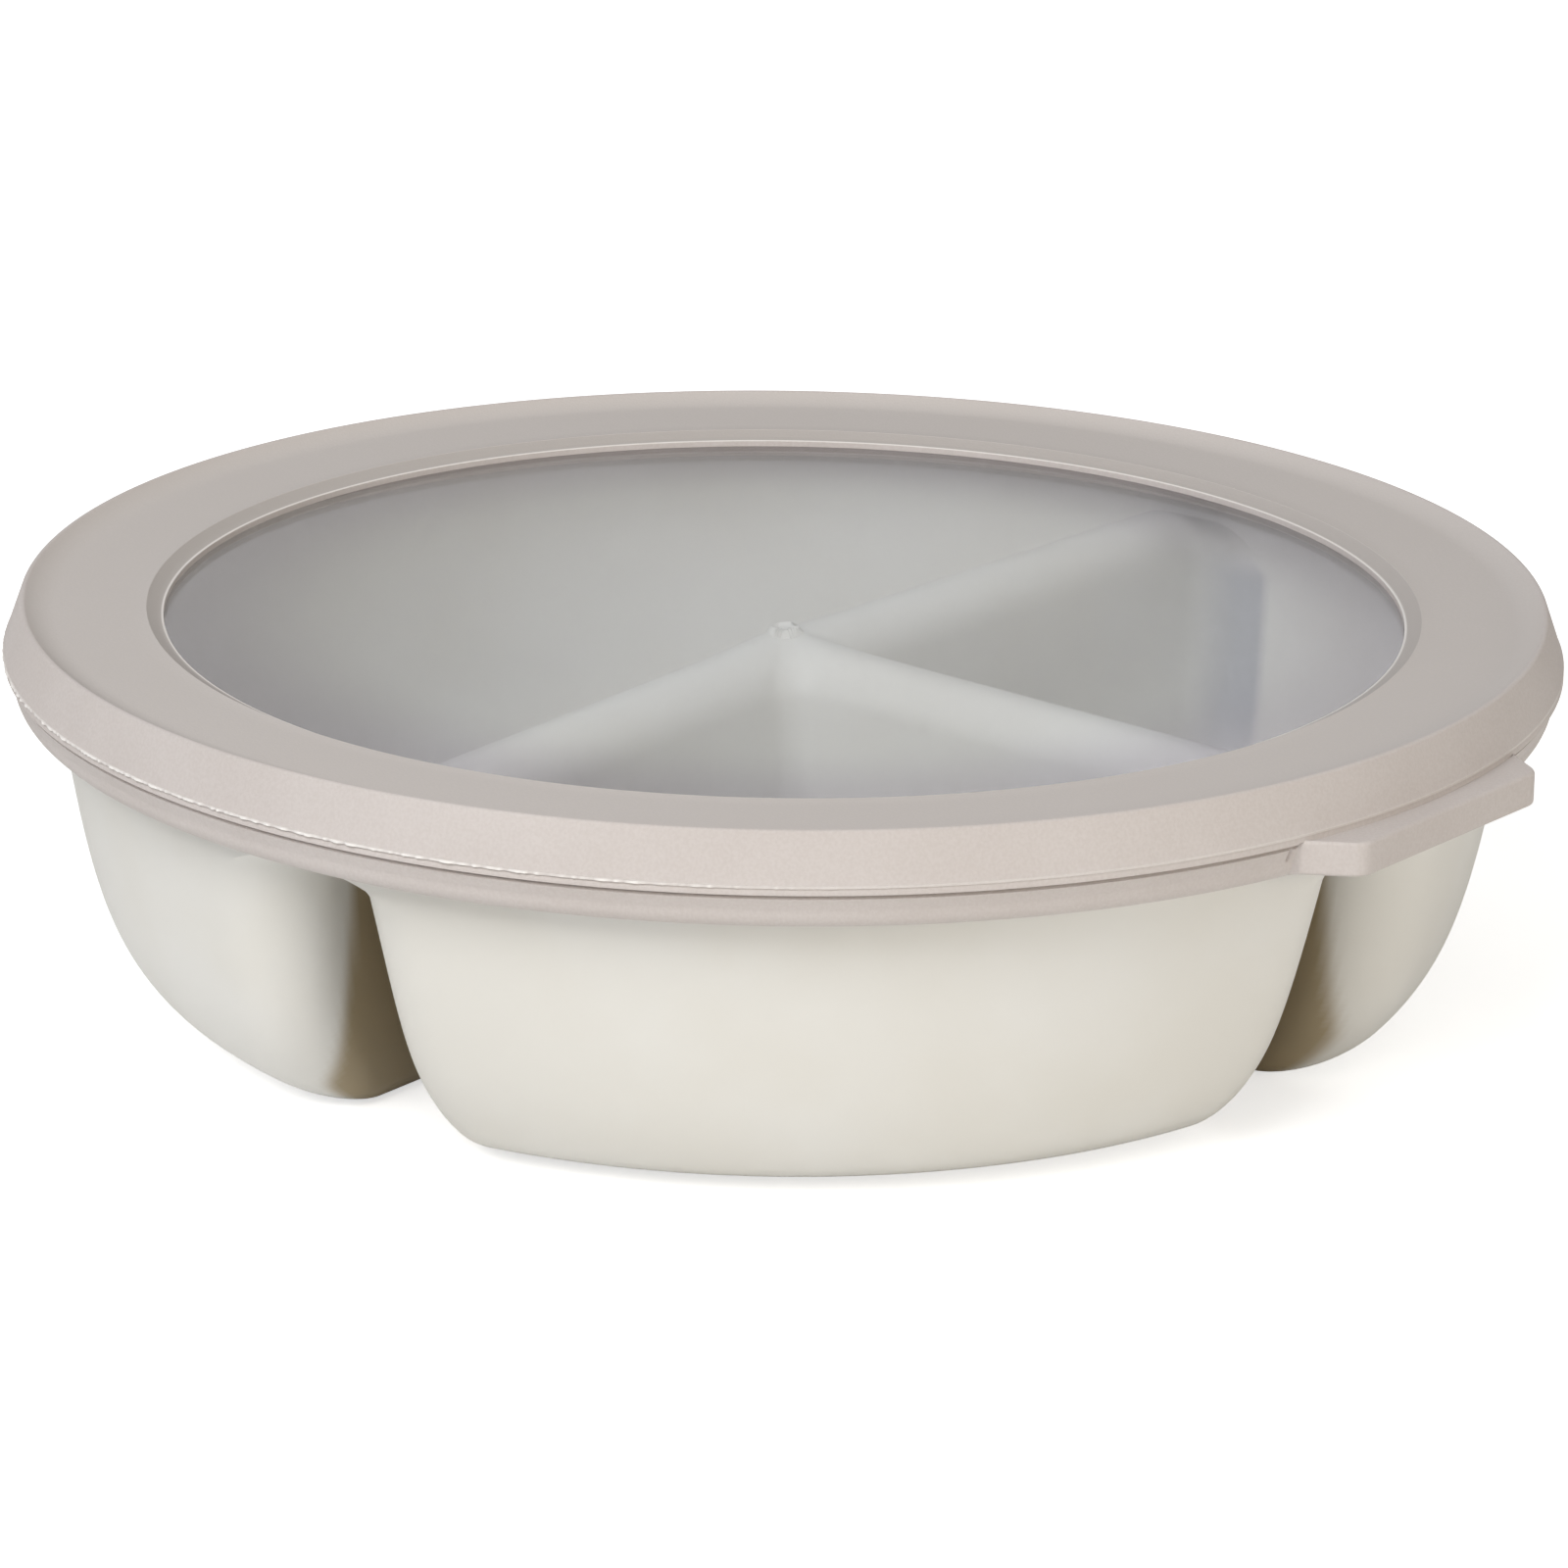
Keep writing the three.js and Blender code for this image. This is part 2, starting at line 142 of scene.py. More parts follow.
bowlForm = dict(
    rimHeight=50.6,
    skin=1.6,
    floorRadius=69,
    floorPull=22.4,
    wallRadius=95.9,
    wallHeight=41.9,
    wallDraft=math.radians(10.5),
    wallPull=23.4,
    flangeReach=1.5,
    flangeDepth=1.9,
    edgeRound=0.5,
    archHeight=40.15,
    foldHalfGap=4.2,
    foldDraft=math.radians(5.8),
    endRise=2.3,
    endRun=8,
    crestFall=2,
    roofRun=23,
    pocketCorner=9.5,
    floorCorner=1.5,
    cornerRise=2,
    hubCorner=4.2,
    floorRound=2.7,
    floorFillet=4,
    gateRadius=1.9,
    gateHeight=0.9,
    gateEase=0.4,
    gateDimple=0.4,
    hubFlare=0.5,
    hubFlareReach=9,
    foldDepth=81.5,  # mm from the axis: where a fold's painted shade begins, and where it does under the tab
    tabFoldDepth=85,
    foldFade=3,
    tabFoldFrom=0.5,  # cosine of the bearing
    tabFoldRun=0.3,
    foldTurn=0.6,  # share of a corner's turn that the fold's painted shade covers
    foldTurnFade=0.25,
    nookRise=0.7,  # the corner's painted shade: shares of its turn, then mm of height
    nookFall=0.16,
    nookTopRun=6,
    nookFoot=5,
    nookFootRun=14,
    pockets=((0, 90), (90, 270), (270, 360)),
    arcSteps=56,  # columns for each quarter turn
    cornerSteps=14,
    hubSteps=8,
    ledgeRows=6,
    floorRows=(0, 0.35, 0.7, 0.9, 0.98),
    underShares=(0.04, 0.1, 0.18, 0.27, 0.36, 0.45, 0.54, 0.63, 0.72, 0.8, 0.86, 0.91, 0.95, 0.975, 0.99),
    gateColumns=(0.25, 3.6, 0.25),  # mm along a divider: close together on the gate, then further apart
    hubColumns=(4, 12, 1.1),
    crestColumns=(13, 92.5, 30),
    wallRows=46,
    wallSpread=0.9,
    wallStop=0.3,
    archRows=12,
    crestRows=26,
    mouthRows=12,
)


def wallCurve(form, inward, steps=400):
    # a cubic curve, level at the floor's edge and leaning at the top, moved in by the skin,
    # then straight to the mouth
    share = np.linspace(0, 1, steps + 1)[:, None]
    lean = np.array([math.sin(form["wallDraft"]), math.cos(form["wallDraft"])])
    top = np.array([form["wallRadius"], form["wallHeight"]])
    floorEdge = np.array([form["floorRadius"], 0])
    floorPull, topPull = floorEdge + [form["floorPull"], 0], top - form["wallPull"] * lean
    back = 1 - share
    point = back**3 * floorEdge + 3 * back**2 * share * floorPull
    point = point + 3 * back * share**2 * topPull + share**3 * top
    along = back**2 * (floorPull - floorEdge)
    along = along + 2 * back * share * (topPull - floorPull) + share**2 * (top - topPull)
    along /= np.linalg.norm(along, axis=1)[:, None]
    curve = point + inward * np.stack([-along[:, 1], along[:, 0]], 1)
    mouth = curve[-1] + lean * (form["rimHeight"] - curve[-1, 1]) / lean[1]
    return np.vstack([curve, mouth])


def radiusAt(curve, height):
    # the curve's radius at a height, straight between its points
    return np.interp(height, curve[:, 1], curve[:, 0])


def roofRise(form, roofEdge, radius):
    # a fold's roof climbs from the wall, then on to the hub
    climb = smoothStep((roofEdge - form["skin"] - radius) / form["endRun"])
    return form["endRise"] * climb + form["crestFall"] * np.maximum(0, 1 - radius / roofEdge)


def roundOver(distance, size):
    # how far a quarter circle of this size has risen at a distance from its start, then level
    distance = np.minimum(distance, size)
    return np.sqrt(np.maximum(0, size**2 - (size - distance) ** 2))


def halfGap(form, height):
    # half the fold's width: its width at the arch, and wider below it by the draft
    return form["foldHalfGap"] + (form["archHeight"] - height) * math.tan(form["foldDraft"])


def pocketCorner(form, height):
    # tight at the floor, easing out quickly as the wall rises
    wide, tight = form["pocketCorner"], form["floorCorner"]
    return wide - (wide - tight) * np.exp(-height / form["cornerRise"])


def stack(*parts):
    # levels of several parts, one after the other
    return {key: np.concatenate([part[key] for part in parts]) for key in parts[0]}


def wallRows(form, curve, foot):
    # points of the wall's curve up to the foot of the arch, spread almost evenly along it
    share = np.linspace(0, 1, form["wallRows"]) ** form["wallSpread"]
    wall = curve[curve[:, 1] < foot - form["wallStop"]]
    return wall[np.round(share * (len(wall) - 1)).astype(int)].T


def closing(rows):
    # cosine and sine of a quarter turn, the cosine ending at exactly 0
    angle = np.linspace(0, math.pi / 2, rows + 1)
    return np.where(angle < angle[-1], np.cos(angle), 0), np.sin(angle)


def outerLevels(form, curve):
    # floor edge, wall curve, then the pocket growing into the fold's arch up to the fold's middle line
    foot = form["archHeight"] - form["foldHalfGap"]
    radius, height = wallRows(form, curve, foot)
    inset = halfGap(form, height) + form["floorRound"] - roundOver(height, form["floorRound"])
    hub = np.full_like(height, form["hubCorner"] + form["skin"])
    corner = pocketCorner(form, height)
    low = dict(height=height, radius=radius, inset=inset, corner=corner, hub=hub, grow=0 * height)
    close, climb = closing(form["archRows"])
    gap = np.full_like(close, halfGap(form, foot))
    height = foot + form["foldHalfGap"] * climb
    high = dict(
        height=height,
        radius=radiusAt(curve, height),
        inset=gap,
        corner=np.full_like(close, form["pocketCorner"]),
        hub=hub[0] * close,
        grow=gap * (1 - close),
    )
    levels = stack(low, high)
    levels["follow"] = smoothStep((levels["height"] - foot) / form["roofRun"] + 1)
    return levels


def innerLevels(form, curve):
    # one skin in from the outside, with the divider's crest as round as the fold's arch
    crest, foot = form["archHeight"] + form["skin"], form["archHeight"] - form["foldHalfGap"]
    side = form["skin"] / math.cos(form["foldDraft"])
    radius, height = wallRows(form, curve, foot)
    undercut = form["floorFillet"] - roundOver(height - form["skin"], form["floorFillet"])
    inset = halfGap(form, height) + side + undercut
    corner = np.maximum(pocketCorner(form, height) - form["skin"], form["floorFillet"])
    hub = np.full_like(height, form["hubCorner"])
    low = dict(height=height, radius=radius, inset=inset, corner=corner, hub=hub, grow=0 * height)
    close, climb = closing(form["crestRows"])
    half = np.full_like(close, halfGap(form, foot) + side)
    height = foot + (crest - foot) * climb
    over = dict(
        height=height,
        radius=radiusAt(curve, height),
        inset=half,
        corner=np.full_like(close, form["pocketCorner"] - form["skin"]),
        hub=form["hubCorner"] * close,
        grow=half * (1 - close),
    )
    levels = stack(low, over)
    levels["follow"] = smoothStep((levels["height"] - foot) / form["roofRun"] + 1)
    return levels


def pocketGrids(form, roofEdge, levels, start, end, sideShare, lift):
    # each level is a sector with its outer corners and its hub corner rounded; where it grows into the arch,
    # its corners keep their centres and run out at the wall, and a ledge fills what is left between the last
    # corner and the wall
    height, radius, inset, corner, hub, grow, follow = (
        levels[key][:, None] for key in ("height", "radius", "inset", "corner", "hub", "grow", "follow")
    )
    start, end, quarter = math.radians(start), math.radians(end), math.pi / 2
    middle = (start + end) / 2
    distance, grown = radius - corner, corner + grow
    swing = np.arcsin((inset + corner) / distance)
    cut = np.arccos(np.minimum(1, (radius**2 - distance**2 - grown**2) / (2 * distance * grown)))
    edge = swing - np.arcsin(grown * np.sin(cut) / radius)
    hubDistance = (inset - grow + hub) / math.sin((end - start) / 2)
    steps, turns = round(form["arcSteps"] * (end - start) / quarter), form["cornerSteps"]

    def turnOf(bearing, away, size, first, last, count):
        angle = first + (last - first) * np.linspace(0, 1, count + 1)
        return away * np.exp(1j * bearing) + size * np.exp(1j * angle)

    def raised(plan, base, share):
        rise = roofRise(form, roofEdge, abs(plan)) + lift(abs(plan))
        return np.stack([plan.real, plan.imag, base + share * rise], -1)

    startCorner = turnOf(start + swing, distance, grown, start - quarter, start + swing - cut, turns)
    outer = turnOf(0, 0, radius, start + edge, end - edge, steps)
    endCorner = turnOf(end - swing, distance, grown, end - swing + cut, end + quarter, turns)
    hubTurn = turnOf(middle, hubDistance, hub, end + quarter, start + 3 * quarter, form["hubSteps"])
    sideIn = hubTurn[:, :1] + (endCorner[:, -1:] - hubTurn[:, :1]) * sideShare[::-1]
    sideOut = hubTurn[:, -1:] + (startCorner[:, :1] - hubTurn[:, -1:]) * sideShare
    stretches = [startCorner, outer[:, 1:-1], endCorner, sideIn, hubTurn, sideOut, startCorner[:, :1]]
    ring = np.concatenate(stretches, 1)
    heart = 0.5 * levels["radius"][0] * np.exp(1j * middle)
    spread = np.array(form["floorRows"])[:, None]
    floor = heart + (ring[:1] - heart) * spread
    wall = np.concatenate([raised(floor, height[0, 0], 0), raised(ring, height, follow)])

    # two marks of painted shade: the fold's shade on the sides and the nearer half of the corners, growing
    # with the depth in the fold, and the corners' shade, most of all where they reach the wall
    turned = np.linspace(0, 1, turns + 1)
    rest = ring.shape[1] - 2 * len(turned) - steps + 1
    fade = smoothStep((form["foldTurn"] - turned) / form["foldTurnFade"])
    nookShade = smoothStep(turned / form["nookRise"]) * smoothStep((1 - turned) / form["nookFall"])
    foldShade = np.concatenate([fade, np.zeros(steps - 1), fade[::-1], np.ones(rest)])
    underTab = smoothStep((ring.real / abs(ring) - form["tabFoldFrom"]) / form["tabFoldRun"])
    depth = form["foldDepth"] + (form["tabFoldDepth"] - form["foldDepth"]) * underTab
    foldShade = foldShade * smoothStep((depth - abs(ring)) / form["foldFade"])
    corners = np.concatenate([nookShade, np.zeros(steps - 1), nookShade[::-1], np.zeros(rest)])
    corners = corners * smoothStep((form["archHeight"] - height) / form["nookTopRun"])
    corners = corners * smoothStep((height - form["nookFoot"]) / form["nookFootRun"]) + 0 * foldShade
    plain = np.zeros(floor.shape)
    marks = np.stack([np.concatenate([plain, foldShade]), np.concatenate([plain, corners])])

    near = start + edge[-1] * np.linspace(0, 1, turns + 1)
    far = end - edge[-1] * np.linspace(1, 0, turns + 1)
    share = np.linspace(0, 1, form["ledgeRows"] + 1)[:, None]
    ledges = [
        raised(arc + (radius[-1] * np.exp(1j * bearing) - arc) * share, height[-1, 0], 1)
        for arc, bearing in ((startCorner[-1], near), (endCorner[-1], far))
    ]
    bearings = np.concatenate([near, np.linspace(near[-1], far[0], steps + 1)[1:-1], far[:-1]])
    return [wall, *ledges], [marks, *(np.zeros((2, *ledge.shape[:2])) for ledge in ledges)], bearings


def makeBowl(form):
    # three lofted pockets outside and three inside, and a turned mouth that joins the two skins
    outside, inside = wallCurve(form, 0), wallCurve(form, form["skin"])
    roofEdge = radiusAt(outside, form["archHeight"])

    def hubLift(radius):
        # the hub flares up to the moulding gate, a small round pip with a dimple
        gate, ease = form["gateRadius"], form["gateEase"]
        pip = form["gateHeight"] * smoothStep((gate + ease - radius) / ease)
        dimple = form["gateDimple"] * smoothStep((gate - ease - radius) / ease)
        return pip - dimple + form["hubFlare"] * np.exp(-((radius / form["hubFlareReach"]) ** 2))

    def noLift(radius):
        return 0 * radius

    under = np.array(form["underShares"])
    over = np.concatenate([
        np.arange(*form["gateColumns"]),
        np.arange(*form["hubColumns"]),
        np.linspace(*form["crestColumns"]),
    ]) / radiusAt(inside, form["archHeight"])
    # the last item of each skin: 1 takes the folds' painted shade (outside), 0 the corners' painted shade
    # (inside)
    skins = (outside, outerLevels, under, noLift, 1), (inside, innerLevels, over, hubLift, 0)
    grids, foldShades, corners, rounds = [], [], [], []
    for curve, levelsOf, sideShare, lift, tone in skins:
        columns, levels = [], levelsOf(form, curve)
        for start, end in form["pockets"]:
            parts, marks, bearings = pocketGrids(form, roofEdge, levels, start, end, sideShare, lift)
            grids += parts
            foldShades += [tone * mark[0] for mark in marks]
            corners += [(1 - tone) * mark[1] for mark in marks]
            columns.append(bearings)
        rounds.append(np.append(np.concatenate(columns), 2 * math.pi))

    # wall above the folds, flange and lip, from the outside's last level round to the inside's
    ease, crest = form["edgeRound"], form["archHeight"] + form["skin"]
    foot = form["rimHeight"] - form["flangeDepth"]
    reach = radiusAt(outside, form["rimHeight"]) + form["flangeReach"]
    lip = radiusAt(inside, form["rimHeight"]) + ease
    climb = np.linspace(form["archHeight"], foot, form["mouthRows"])
    fall = np.linspace(form["rimHeight"] - ease, crest, form["mouthRows"])[1:]
    crestRadius = radiusAt(inside, crest)
    fallRise = fall + np.where(fall > crest, 0, roofRise(form, roofEdge, crestRadius) + hubLift(crestRadius))
    profile = np.vstack([
        np.stack([radiusAt(outside, climb), climb], 1),
        bend((reach - ease, foot + ease), ease, -90, 0, 5),
        bend((reach - ease, form["rimHeight"] - ease), ease, 0, 90, 5),
        bend((lip, form["rimHeight"] - ease), ease, 90, 180, 5),
        np.stack([radiusAt(inside, fall), fallRise], 1),
    ])
    blend = np.linspace(0, 1, len(profile))[:, None]
    grids.append(revolve(profile, rounds[0] + (rounds[1] - rounds[0]) * blend))
    plain = [np.zeros(grids[-1].shape[:2])]
    return weldedPiece("bowl_shell", grids, dict(foldShade=foldShades + plain, corner=corners + plain))


bowl = makeBowl(bowlForm)
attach(bowl, "bowl")
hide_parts("bowl")


# lid rim, in mm: one section carried round the axis; at the tab the band's rows move out to its outline

rimForm = dict(
    skirtInner=99.3,
    innerEase=0.15,
    bandBottom=41.9,
    bandFoot=101.4,
    bandRadius=102.1,
    bandUnder=1.5,  # the band curves under over this width and height
    bandCurve=2.3,
    grooveFoot=45.95,  # a narrow groove between the band and the ring above
    grooveDepth=0.55,
    grooveRise=0.3,
    partingRadius=102.5,
    partingFoot=46.5,
    partingHeight=47.7,
    partingEase=0.08,
    bead=0.06,
    beadRows=(0.09, 0.24),
    flashLeast=0.05,
    flashEven=0.15,  # share of the reach that is the same everywhere in the span
    flashReach=0.42,  # ragged flash along the moulding line, longest between these bearings
    flashSpan=(228, 296),
    flashRise=(10, 14),  # degrees before the first bearing, and the run over which it grows
    flashFall=(32, 46),  # the same after the last one
    flashRecess=0.16,
    recessEven=0.35,
    finOffsets=(-0.5, -0.34, -0.29, -0.26, 0.02, 0.1),  # mm from the moulding line, row by row
    finTuck=0.02,
    flashPale=(0.25, 0.1),  # the least paleness, a painted highlight along the whole moulding line, and the reach past which the flash's own paleness grows
    # painted highlight on the lip's rounded edge, over its own pale thin edge
    lipHighlight=0.7,
    skirtFoot=(0.06, 0.16),
    ridgeRadius=99.9,
    ridgeHeight=54,
    ridgeRound=0.5,
    dishLean=math.radians(38),
    dishRadius=95.6,
    annulusHeight=52.5,
    annulusInner=83.8,
    annulusEnd=0.2,
    browOffsets=((0.06, 0.03), (-0.06, -0.05)),
    browDrop=0.08,
    bevelRadius=82,
    lipRadius=81.6,
    lipHeight=51.5,
    lipRound=0.16,
    lipLean=0.05,
    slotRadius=88.6,
    slotTop=50.62,
    slotBottom=48.5,
    slotLip=4.6,
    under=47.3,
    sealTop=95.57,
    sealFoot=93.73,
    sealTip=45.5,
    sealThickness=2,
    sealTaper=0.9,
    seatHeight=50.9,
    tabOuter=106.3,
    tabOuterHalf=18.9,
    tabRootHalf=24.5,
    tabCorner=1.6,
    tabEdge=0.5,
    tabFoot=42.55,
    tabTop=46.95,
    tabRootRadius=100.6,
    tabBlend=(0.2, 0.5),  # mm before the band's radius, and the run over which the tab takes over
    tabSteps=60,
    tabTurnSteps=24,
    tabGroove=0.5,  # depth of the groove where the tab's ends leave the band
    tabGrooveBearing=13.75,
    tabGrooveWidth=0.13,
    turn=-1.0,  # degrees: the lid sits a little turned on the bowl
    columnStep=1.2,  # degrees between columns, closer on the flash and at the tab's ends
    flashColumns=(10, 34, 0.26),
    tabFace=9,
    tabColumns=((9.1, 12.8, 0.12), (12.82, 14.3, 0.06)),
    plainSpan=(14.8, 345.2),
    plainGap=(0.5, 0.8),
    seed=11,
)


def tabReachAt(form, angle):
    # the tab's outline seen from above, as a radius for each angle; 0 away from the tab
    outer, half, corner = form["tabOuter"], form["tabOuterHalf"], form["tabCorner"]
    root = math.sqrt(form["tabRootRadius"] ** 2 - form["tabRootHalf"] ** 2)
    flare = corner * (form["tabRootHalf"] - half) / (outer - root)
    steps, share = form["tabSteps"], np.linspace(0, 1, form["tabTurnSteps"] + 1)[:, None]
    ends = np.array([[outer, half - corner], [outer, half], [outer - corner, half + flare]])
    turn = (1 - share) ** 2 * ends[0] + 2 * (1 - share) * share * ends[1] + share**2 * ends[2]
    face = np.stack([np.full(steps, outer), np.linspace(0, half - corner, steps)], 1)
    end = ends[2] + (np.array([root, form["tabRootHalf"]]) - ends[2]) * np.linspace(0, 1, steps)[1:, None]
    outline = np.vstack([face[:-1], turn, end])
    bearing, reach = np.arctan2(outline[:, 1], outline[:, 0]), np.hypot(outline[:, 0], outline[:, 1])
    return np.interp(abs(angle), bearing, reach, right=0)


def makeRim(form):
    # rows of the section times columns round the axis: band and tab, flash, then the rest of the section
    foot, top = form["bandBottom"], form["partingFoot"]
    # columns: close together on the ragged flash and at the tab's ends
    step, first, last = form["columnStep"], *form["flashSpan"]
    before, after, flashStep = form["flashColumns"]
    flash = np.arange(first - before, last + after, flashStep)
    tabFace = np.arange(-form["tabFace"], form["tabFace"] + 0.01, step)
    tabEnds = np.concatenate([np.arange(*span) for span in form["tabColumns"]])
    near = np.arange(form["plainSpan"][0], flash[0] - form["plainGap"][0], step)
    far = np.arange(flash[-1] + form["plainGap"][1], form["plainSpan"][1], step)
    bearing = np.concatenate([tabFace, tabEnds, near, flash, far, 360 - tabEnds[::-1]])
    degrees = np.sort((bearing + 180) % 360 - 180)
    degrees = np.append(degrees, degrees[0] + 360)
    angle = np.radians(degrees)
    off = np.append(angle[:-1], angle[0])

    # band: curving under at its foot, then up to the groove and the bead at the ring's lower edge
    quarter = bend((0, 0), 1, -90, 0, 7)
    turned = np.array([form["bandUnder"], form["bandCurve"]])
    curl = np.array([form["bandFoot"] - form["bandUnder"], foot + form["bandCurve"]]) + quarter * turned
    brim = form["bandRadius"], form["grooveFoot"]
    deep = form["bandRadius"] - form["grooveDepth"], form["grooveFoot"] + form["grooveRise"]
    bead = form["partingRadius"] + form["bead"]
    side = np.linspace((form["bandFoot"], foot + form["bandCurve"]), brim, 7)[1:]
    bandRows = np.vstack([
        [[form["skirtInner"] + form["innerEase"], foot]],
        curl,
        side,
        np.linspace(brim, deep, 4)[1:],
        np.linspace(deep, (form["partingRadius"] - form["partingEase"], top), 4)[1:],
        [[bead, top + rise] for rise in form["beadRows"]],
    ])
    # a narrow groove in the band's upright rows beside each of the tab's ends
    aside = (abs(np.degrees(off)) - form["tabGrooveBearing"]) / form["tabGrooveWidth"]
    dip = form["tabGroove"] * np.exp(-(aside**2))
    band = revolve(bandRows, angle)
    upright = slice(1 + len(curl), 2 + len(curl) + len(side))
    band[upright, :, :2] *= (1 - dip / form["bandRadius"])[None, :, None]

    # the same rows on the tab: lower edge, outer face, upper edge, then back to the moulding line
    reach = tabReachAt(form, off)
    edge, low, high = form["tabEdge"], form["tabFoot"], form["tabTop"]
    lower = bend((-edge, low + edge), edge, -90, 0, 7)
    face = np.linspace((0, low + edge), (0, high - edge), 7)[1:]
    upper = bend((-edge, high - edge), edge, 0, 90, 7)[1:]
    tabRows = np.vstack([lower, face, upper])
    radius = tabRows[:, 0][:, None] + reach
    tab = np.stack([radius * np.cos(angle), radius * np.sin(angle), tabRows[:, 1][:, None] + 0 * angle], -1)
    ahead, run = form["tabBlend"]
    blend = smoothStep((reach - form["bandRadius"] + ahead) / run)[None, :, None]
    band[1:-1] += (tab - band[1:-1]) * blend

    # flash: a thin ragged fin on the moulding line, over a shallow recess
    rng = np.random.default_rng(form["seed"])
    (lead, rise), (tail, fall) = form["flashRise"], form["flashFall"]
    around, even = degrees % 360, form["flashEven"]
    inSpan = smoothStep((around - first + lead) / rise) * smoothStep((last + tail - around) / fall)
    ragged = rng.random(len(angle)) * (0.4 + 0.6 * np.sin(degrees * 1.7 + 2 * np.sin(degrees * 0.61)) ** 2)
    fin = form["flashLeast"] + form["flashReach"] * inSpan * (even + (1 - even) * ragged)
    fin[-1] = fin[0]
    edgeRadius, line = form["partingRadius"], form["partingHeight"]
    hollow = form["flashRecess"] * (form["recessEven"] + (1 - form["recessEven"]) * inSpan)
    finReach = np.stack([0 * fin, -hollow, -hollow, fin, fin, 0 * fin - form["finTuck"]])
    finHeight = line + np.array(form["finOffsets"])[:, None] + 0 * angle
    finRadius = edgeRadius + finReach
    finGrid = np.stack([finRadius * np.cos(angle), finRadius * np.sin(angle), finHeight], -1)

    # the rest of the section: skirt, ridge, dished top, bevel, lip, the window's slot, seal and inner wall
    curve, crown = form["ridgeRound"], form["ridgeHeight"] - form["ridgeRound"]
    lean = math.degrees(math.atan2(edgeRadius - form["ridgeRadius"] - curve, crown - line))
    ridge = bend((form["ridgeRadius"], crown), curve, lean, 90 + math.degrees(form["dishLean"]), 16)
    brink, annulus, inner = ridge[-1], form["annulusHeight"], form["annulusInner"]
    knee = np.array([brink[0] - (brink[1] - annulus) / math.tan(form["dishLean"]), annulus])
    share = np.linspace(0, 1, 15)[1:, None]
    dishEnd = np.array([form["dishRadius"], annulus])
    dish = (1 - share) ** 2 * brink + 2 * (1 - share) * share * knee + share**2 * dishEnd
    skirtIn, skirtUp = form["skirtFoot"]
    skirt = np.linspace((edgeRadius - skirtIn, line + skirtUp), ridge[0], 8)[:-1]
    flat = np.linspace(dishEnd, (inner + form["annulusEnd"], annulus), 6)[1:]
    brow = np.array([inner, annulus]) + form["browOffsets"]
    bevelEnd = form["bevelRadius"], form["lipHeight"]
    bevel = np.linspace((inner, annulus - form["browDrop"]), bevelEnd, 4)[1:]
    ease, tip, slotEdge = form["lipRound"], form["sealThickness"] / 2, form["lipRadius"] + form["slotLip"]
    rest = np.vstack([
        skirt,
        ridge,
        dish,
        flat,
        brow,
        bevel,
        bend((form["lipRadius"] + ease, form["lipHeight"] - ease), ease, 90, 180, 5),
        [[form["lipRadius"] + form["lipLean"], form["slotTop"]]],
        [[form["slotRadius"], form["slotTop"]]],
        [[form["slotRadius"], form["slotBottom"]]],
        [[slotEdge, form["slotBottom"]]],
        [[slotEdge, form["under"]]],
        [[form["sealFoot"] - 2 * tip, form["under"]]],
        bend((form["sealFoot"] - tip, form["sealTip"] + tip), tip, 180, 360, 10),
        [[form["sealTop"] - form["sealTaper"], form["seatHeight"] - form["sealTaper"]]],
        [[form["sealTop"], form["seatHeight"]]],
        [[form["skirtInner"], form["seatHeight"]]],
        [[form["skirtInner"], foot + form["innerEase"]]],
        bandRows[:1],
    ])
    grid = np.concatenate([band, finGrid, revolve(rest, angle)])
    turn = math.radians(form["turn"])
    cosine, sine = math.cos(turn), math.sin(turn)
    grid = grid @ np.array([[cosine, sine, 0], [-sine, cosine, 0], [0, 0, 1]])

    # two marks: the pale flash, with a painted highlight along the moulding line and on the lip,
    # and the painted shade of the dished top, 1 on the flat and 2 on the bevel
    dishRow = len(band) + len(finGrid) + len(skirt) + len(ridge)
    bevelRow = dishRow + len(dish) + len(flat) + len(brow)
    lipRow, finRow = bevelRow + len(bevel), len(band) + 3
    paleAndHighlightMark, topShadeMark = np.zeros(grid.shape[:2]), np.zeros(grid.shape[:2])
    paleAndHighlightMark[lipRow:lipRow + 4] = form["lipHighlight"]
    least, past = form["flashPale"]
    long = smoothStep((fin - past) / (0.5 * form["flashReach"]))
    paleAndHighlightMark[finRow:finRow + 2] = least + (1 - least) * long
    topShadeMark[dishRow:lipRow] = 1
    topShadeMark[bevelRow - 1:lipRow] = 2
    return weldedPiece("soft_lid_rim", [grid], dict(flash=[paleAndHighlightMark], top=[topShadeMark]))


rim = makeRim(rimForm)
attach(rim, "lid")
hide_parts("lid_rim")


# lid window, in mm: a clear disc with eased edges, held in the rim's slot

windowForm = dict(
    radius=88.3,
    top=50.6,
    thickness=1.8,
    ease=0.4,
    columns=192,
    flatShares=(0, 0.3, 0.6, 0.85, 0.97, 0.99),
)


def makeWindow(form):
    # a turned profile: flat underside, rounded edge, flat top
    low, ease = form["top"] - form["thickness"], form["ease"]
    flat = np.array(form["flatShares"]) * (form["radius"] - ease)
    profile = np.vstack([
        np.stack([flat, 0 * flat + low], 1),
        bend((form["radius"] - ease, low + ease), ease, -90, 0, 5),
        bend((form["radius"] - ease, form["top"] - ease), ease, 0, 90, 5),
        np.stack([flat[::-1], 0 * flat + form["top"]], 1),
    ])
    angle = np.linspace(0, 2 * math.pi, form["columns"] + 1)
    return weldedPiece("clear_lid_window", [revolve(profile, angle)])


window = makeWindow(windowForm)
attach(window, "lid")
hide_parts("lid_window")
print("pieces built")


